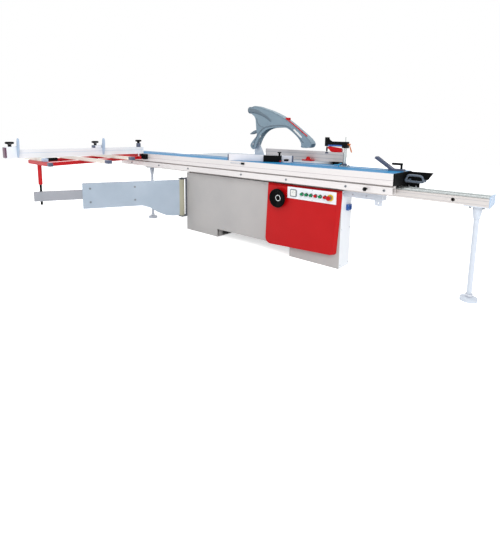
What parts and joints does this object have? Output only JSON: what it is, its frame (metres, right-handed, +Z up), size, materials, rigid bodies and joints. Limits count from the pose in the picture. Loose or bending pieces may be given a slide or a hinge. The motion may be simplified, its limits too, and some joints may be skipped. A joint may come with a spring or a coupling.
{
  "type": "sliding table saw",
  "caption": "Workshop panel saw with a long sliding carriage, tilting blade under a hood guard, red control cover, outrigger table on a swing arm, and rip and mitre fences",
  "frame": {"origin": "centre of the four floor-anchor holes, on the floor plane", "axes": "+X along the carriage's travel toward the operator's end, +Y from the operator's side to the rip fence, +Z up"},
  "size_m": [4.5611, 2.7455, 1.4574],
  "materials": {
    "cabinet_paint": "satin",
    "white_paint": "satin",
    "red_paint": "gloss",
    "cast_iron": "ground",
    "steel_sheet": "brushed",
    "bright_steel": "ground",
    "anodised": "anodised",
    "light_paint": "satin",
    "guard_plastic": "matte",
    "black_plastic": "matte",
    "blue_plastic": "gloss",
    "motor_paint": "satin",
    "belt_rubber": "matte",
    "green_plastic": "gloss",
    "red_plastic": "gloss",
    "orange_plastic": "gloss"
  },
  "bodies": {
    "base": {"base_frame": "cabinet_paint", "front_panel": "cabinet_paint", "red_cover": "red_paint", "control_panel": "white_paint", "end_panel": "white_paint", "rear_cabinet": "cabinet_paint", "power_inlet": "blue_plastic", "main_table": "cast_iron", "extension_tables": "steel_sheet", "beam_arm": "cabinet_paint", "beam": "anodised", "guide_rails": "bright_steel", "beam_caps": "guard_plastic", "support_legs": "cabinet_paint", "rip_rail": "bright_steel", "arm_hinge": "cabinet_paint"},
    "tilt": {"saw_cradle": "cast_iron", "scoring_motor": "motor_paint"},
    "rise": {"saw_arm": "cast_iron", "motor": "motor_paint", "riving_knife": "steel_sheet", "drive_belt": "belt_rubber"},
    "arbor": {"main_arbor": "bright_steel", "saw_blade": "steel_sheet"},
    "rotor": {"motor_pulley": "motor_paint"},
    "scoring": {"scoring_spindle": "bright_steel"},
    "guard": {"guard_hood": "guard_plastic"},
    "wheel": {"handwheel": "black_plastic"},
    "key_1": {"button_1": "green_plastic"},
    "key_2": {"button_2": "green_plastic"},
    "key_3": {"button_3": "green_plastic"},
    "key_4": {"button_4": "red_plastic"},
    "key_5": {"button_5": "green_plastic"},
    "key_6": {"button_6": "red_plastic"},
    "stop_key": {"stop_button": "red_plastic"},
    "sled": {"carriage": "anodised", "end_bracket": "light_paint", "push_handle": "black_plastic", "outrigger_frame": "red_paint", "support_bars": "anodised"},
    "lock": {"lock_knob": "black_plastic"},
    "truck": {"roller_truck": "bright_steel"},
    "swing": {"swing_arm": "light_paint"},
    "reach": {"arm_slider": "light_paint"},
    "cross": {"crosscut_fence": "anodised"},
    "cross_ext": {"fence_extension": "anodised"},
    "near": {"stop_near": "anodised"},
    "near_finger": {"flip_near": "light_paint"},
    "far_finger": {"flip_far": "light_paint"},
    "hold_post": {"clamp_post": "steel_sheet"},
    "hold_arm": {"clamp_arm": "black_plastic"},
    "hold_grip": {"clamp_grip": "red_plastic"},
    "hold_lever": {"clamp_lever": "orange_plastic"},
    "shoe": {"edging_shoe": "guard_plastic"},
    "shoe_turn": {"shoe_lever": "black_plastic"},
    "mitre": {"mitre_fence": "anodised"},
    "mitre_slide": {"mitre_stop": "black_plastic"},
    "rip": {"rip_carrier": "cast_iron", "rip_fence": "anodised"},
    "push": {"push_block": "red_plastic"}
  },
  "joints": [
    {"name": "carriage_slide", "type": "slide", "parent": "base", "child": "sled", "axis": [1, 0, 0], "range_m": [-1.3, 1.9]},
    {"name": "truck_roll", "type": "slide", "parent": "base", "child": "truck", "axis": [1, 0, 0], "range_m": [-0.66, 0.96]},
    {"name": "arm_swing", "type": "hinge", "parent": "base", "child": "swing", "pos_m": [-1.055, -0.425, 0.45], "axis": [0, 0, 1], "range_deg": [-46, 67]},
    {"name": "arm_extend", "type": "slide", "parent": "swing", "child": "reach", "axis": [-0.4337, -0.9011, 0], "range_m": [-0.28, 0.38]},
    {"name": "fence_swing", "type": "hinge", "parent": "sled", "child": "cross", "pos_m": [-1.8, -0.52, 0.86], "axis": [0, 0, 1], "range_deg": [-45, 45]},
    {"name": "fence_extend", "type": "slide", "parent": "cross", "child": "cross_ext", "axis": [0, -1, 0], "range_m": [0, 0.65]},
    {"name": "near_stop_slide", "type": "slide", "parent": "cross", "child": "near", "axis": [0, 1, 0], "range_m": [-0.7, 0.42]},
    {"name": "near_flip", "type": "hinge", "parent": "near", "child": "near_finger", "pos_m": [-1.8, -1.03, 0.9824], "axis": [0, -1, 0], "range_deg": [0, 90]},
    {"name": "far_flip", "type": "hinge", "parent": "cross_ext", "child": "far_finger", "pos_m": [-1.8, -1.935, 0.9824], "axis": [0, -1, 0], "range_deg": [0, 90]},
    {"name": "clamp_slide", "type": "slide", "parent": "sled", "child": "hold_post", "axis": [1, 0, 0], "range_m": [-0.3, 0.2]},
    {"name": "clamp_height", "type": "slide", "parent": "hold_post", "child": "hold_arm", "axis": [0, 0, 1], "range_m": [-0.1, 0.02]},
    {"name": "clamp_squeeze", "type": "hinge", "parent": "hold_arm", "child": "hold_grip", "pos_m": [0.767, -0.181, 1.0446], "axis": [0, -1, 0], "range_deg": [0, 4], "stiffness_Nm_per_rad": 2},
    {"name": "clamp_tighten", "type": "hinge", "parent": "hold_arm", "child": "hold_lever", "pos_m": [0.96, -0.181, 1.08], "axis": [1, 0, 0], "range_deg": [-60, 60]},
    {"name": "shoe_slide", "type": "slide", "parent": "sled", "child": "shoe", "axis": [1, 0, 0], "range_m": [-0.2, 0.01]},
    {"name": "shoe_tighten", "type": "hinge", "parent": "shoe", "child": "shoe_turn", "pos_m": [1.426, -0.181, 0.92], "axis": [0, 0, 1], "range_deg": [-90, 60]},
    {"name": "mitre_swing", "type": "hinge", "parent": "sled", "child": "mitre", "pos_m": [0.288, -0.181, 0.885], "axis": [0, 0, 1], "range_deg": [-25, 60]},
    {"name": "mitre_stop_slide", "type": "slide", "parent": "mitre", "child": "mitre_slide", "axis": [-0.8862, -0.4633, 0], "range_m": [-0.015, 0.37]},
    {"name": "rip_slide", "type": "slide", "parent": "base", "child": "rip", "axis": [0, 1, 0], "range_m": [-0.15, 0.25]},
    {"name": "push_slide", "type": "slide", "parent": "rip", "child": "push", "axis": [1, 0, 0], "range_m": [-0.3, 0.15]},
    {"name": "blade_tilt", "type": "hinge", "parent": "base", "child": "tilt", "pos_m": [0, -0.058, 0.88], "axis": [-1, 0, 0], "range_deg": [0, 45]},
    {"name": "blade_rise", "type": "slide", "parent": "tilt", "child": "rise", "axis": [0, 0, 1], "range_m": [-0.065, 0.04]},
    {"name": "handwheel_turn", "type": "hinge", "parent": "base", "child": "wheel", "pos_m": [0.382, -0.44, 0.56], "axis": [0, 1, 0], "range_deg": [0, 1800]},
    {"name": "arbor_spin", "type": "hinge", "parent": "rise", "child": "arbor", "pos_m": [0.068, -0.058, 0.74], "axis": [0, 1, 0], "continuous": true},
    {"name": "motor_spin", "type": "hinge", "parent": "rise", "child": "rotor", "pos_m": [-0.162, 0.12, 0.6], "axis": [0, 1, 0], "continuous": true},
    {"name": "scoring_spin", "type": "hinge", "parent": "tilt", "child": "scoring", "pos_m": [0.368, -0.058, 0.822], "axis": [0, 1, 0], "continuous": true},
    {"name": "guard_lift", "type": "hinge", "parent": "rise", "child": "guard", "pos_m": [-0.221, -0.058, 1.045], "axis": [0, -1, 0], "range_deg": [-6, 20]},
    {"name": "button_1_press", "type": "slide", "parent": "base", "child": "key_1", "axis": [0, 1, 0], "range_m": [0, 0.004], "stiffness_N_per_m": 500},
    {"name": "button_2_press", "type": "slide", "parent": "base", "child": "key_2", "axis": [0, 1, 0], "range_m": [0, 0.004], "stiffness_N_per_m": 500},
    {"name": "button_3_press", "type": "slide", "parent": "base", "child": "key_3", "axis": [0, 1, 0], "range_m": [0, 0.004], "stiffness_N_per_m": 500},
    {"name": "button_4_press", "type": "slide", "parent": "base", "child": "key_4", "axis": [0, 1, 0], "range_m": [0, 0.004], "stiffness_N_per_m": 500},
    {"name": "button_5_press", "type": "slide", "parent": "base", "child": "key_5", "axis": [0, 1, 0], "range_m": [0, 0.004], "stiffness_N_per_m": 500},
    {"name": "button_6_press", "type": "slide", "parent": "base", "child": "key_6", "axis": [0, 1, 0], "range_m": [0, 0.004], "stiffness_N_per_m": 500},
    {"name": "stop_press", "type": "slide", "parent": "base", "child": "stop_key", "axis": [0, 1, 0], "range_m": [0, 0.006], "stiffness_N_per_m": 500},
    {"name": "lock_turn", "type": "hinge", "parent": "sled", "child": "lock", "pos_m": [1.255, -0.45, 0.744], "axis": [0, 1, 0], "range_deg": [0, 90]}
  ],
  "couplings": [
    {"joint": "truck_roll", "follows": "carriage_slide", "ratio": 0.5},
    {"joint": "arm_swing", "follows": "carriage_slide", "rad_per_m": 0.608},
    {"joint": "handwheel_turn", "follows": "blade_tilt", "ratio": 40},
    {"joint": "motor_spin", "follows": "arbor_spin", "ratio": 0.75}
  ]
}
